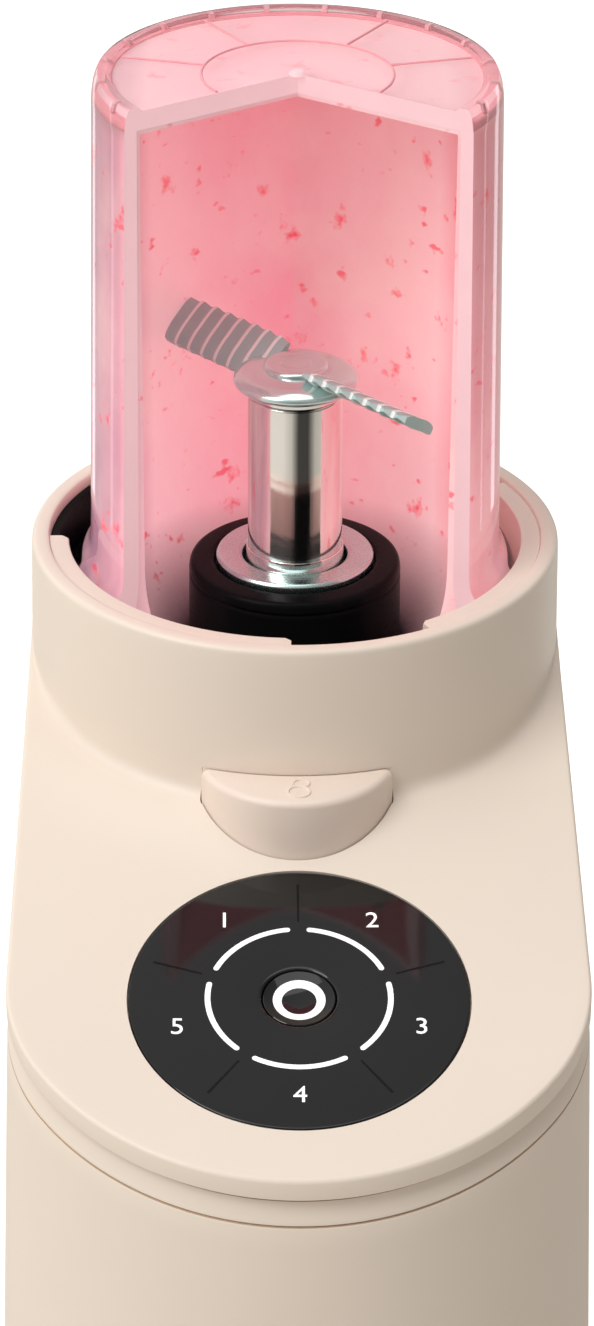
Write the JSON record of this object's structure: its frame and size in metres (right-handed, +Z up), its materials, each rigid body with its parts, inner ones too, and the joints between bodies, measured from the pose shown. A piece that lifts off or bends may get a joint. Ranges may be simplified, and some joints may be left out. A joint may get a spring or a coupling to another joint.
{
  "type": "ice cream maker",
  "caption": "Small counter-top ice cream maker with a sloped control deck, an upside-down clear jar in a collar and a lifting, spinning blade.",
  "frame": {"origin": "on the table, under the middle of the footprint", "axes": "+Z up, -Y towards the user and the control deck"},
  "size_m": [0.1314, 0.2223, 0.3559],
  "materials": {
    "shell": "satin warm beige moulding",
    "shell_inner": "satin warm beige moulding",
    "button": "satin, slightly pinker beige",
    "black_plastic": "fine matt black moulding",
    "rubber": "matt",
    "aluminium": "milled",
    "steel": "turned",
    "brushed_steel": "turned face",
    "brass": "sintered bronze",
    "motor_metal": "zinc plated",
    "panel": "black glass look",
    "diffuser": "milk white",
    "board": "solder mask green",
    "components": "moulded packages",
    "jar": "clear, polished",
    "mix": "wet frozen fruit mix",
    "seal_silicone": "translucent grey",
    "chrome": "mirror polish",
    "blade_steel": "stamped, ribbed",
    "magnet": "ferrite",
    "copper": "wound copper and laminations"
  },
  "bodies": {
    "root": {"main_housing": "shell", "top_cover": "shell", "bayonet_ring": "shell_inner", "dock_well": "black_plastic", "column_seal": "rubber", "chassis_top_plate": "aluminium", "chassis_screws": "steel", "chassis_base_plate": "aluminium", "guide_rods": "steel", "screw_bearing": "brass", "lift_motor": "motor_metal", "button_bracket": "black_plastic", "button_springs": "steel", "panel_glass": "panel", "light_guide": "diffuser", "interface_board": "board", "start_switch": "black_plastic", "board_bracket": "black_plastic", "control_board": "board", "board_components": "components", "power_inlet": "black_plastic", "base_plate": "black_plastic", "base_screws": "steel", "feet": "rubber"},
    "lock_ring": {"lock_ring": "black_plastic"},
    "jar_unit": {"jar": "jar", "frozen_mix": "mix", "jar_gasket": "seal_silicone", "blade_base": "black_plastic", "hub_seal": "rubber", "wiper_ring": "chrome", "retaining_ring": "brushed_steel"},
    "blade_carrier": {"carrier_bush": "chrome"},
    "blade_unit": {"blade_cap": "chrome", "cap_nut": "chrome", "blade": "blade_steel", "blade_shaft": "steel"},
    "carriage": {"carriage_plate": "aluminium", "rod_bushes": "brass", "lift_nut": "brass", "lift_column": "chrome", "column_bushes": "brass", "motor_can": "motor_metal", "motor_magnets": "magnet", "motor_end_cap": "black_plastic", "motor_bearings": "steel"},
    "rotor": {"spindle": "steel", "drive_dog": "steel", "motor_rotor": "copper", "cooling_fan": "black_plastic"},
    "lift_screw": {"lead_screw": "steel", "screw_coupling": "aluminium"},
    "release_key": {"release_button": "button", "latch_finger": "black_plastic"},
    "start_key": {"start_button": "panel"}
  },
  "joints": [
    {"name": "jar_twist", "type": "hinge", "parent": "root", "child": "lock_ring", "pos_m": [0, 0.04703, 0.23], "axis": [0, 0, 1], "range_deg": [0, 36]},
    {"name": "jar_lift", "type": "slide", "parent": "lock_ring", "child": "jar_unit", "axis": [0, 0, 1], "range_m": [0, 0.16]},
    {"name": "blade_lift", "type": "slide", "parent": "jar_unit", "child": "blade_carrier", "axis": [0, 0, 1], "range_m": [-0.036, 0.058]},
    {"name": "blade_spin", "type": "hinge", "parent": "blade_carrier", "child": "blade_unit", "pos_m": [0, 0.04703, 0.28], "axis": [0, 0, 1], "continuous": true},
    {"name": "carriage_lift", "type": "slide", "parent": "root", "child": "carriage", "axis": [0, 0, 1], "range_m": [-0.036, 0.058]},
    {"name": "spindle_spin", "type": "hinge", "parent": "carriage", "child": "rotor", "pos_m": [0, 0.04703, 0.15], "axis": [0, 0, 1], "continuous": true},
    {"name": "screw_turn", "type": "hinge", "parent": "root", "child": "lift_screw", "pos_m": [0, 0.00303, 0.1], "axis": [0, 0, 1], "range_deg": [-812, 1307]},
    {"name": "release_press", "type": "slide", "parent": "root", "child": "release_key", "axis": [0, 0, -1], "range_m": [0, 0.0055], "stiffness_N_per_m": 700, "springref_m": -0.004, "deforming": ["button_springs"]},
    {"name": "start_press", "type": "slide", "parent": "root", "child": "start_key", "axis": [0, 0.274, -0.9617], "range_m": [0, 0.0008], "stiffness_N_per_m": 1500, "springref_m": -0.0006}
  ],
  "couplings": [
    {"joint": "blade_lift", "follows": "carriage_lift", "ratio": 1},
    {"joint": "screw_turn", "follows": "carriage_lift", "rad_per_m": 392.7},
    {"joint": "blade_spin", "follows": "spindle_spin", "ratio": 1}
  ]
}
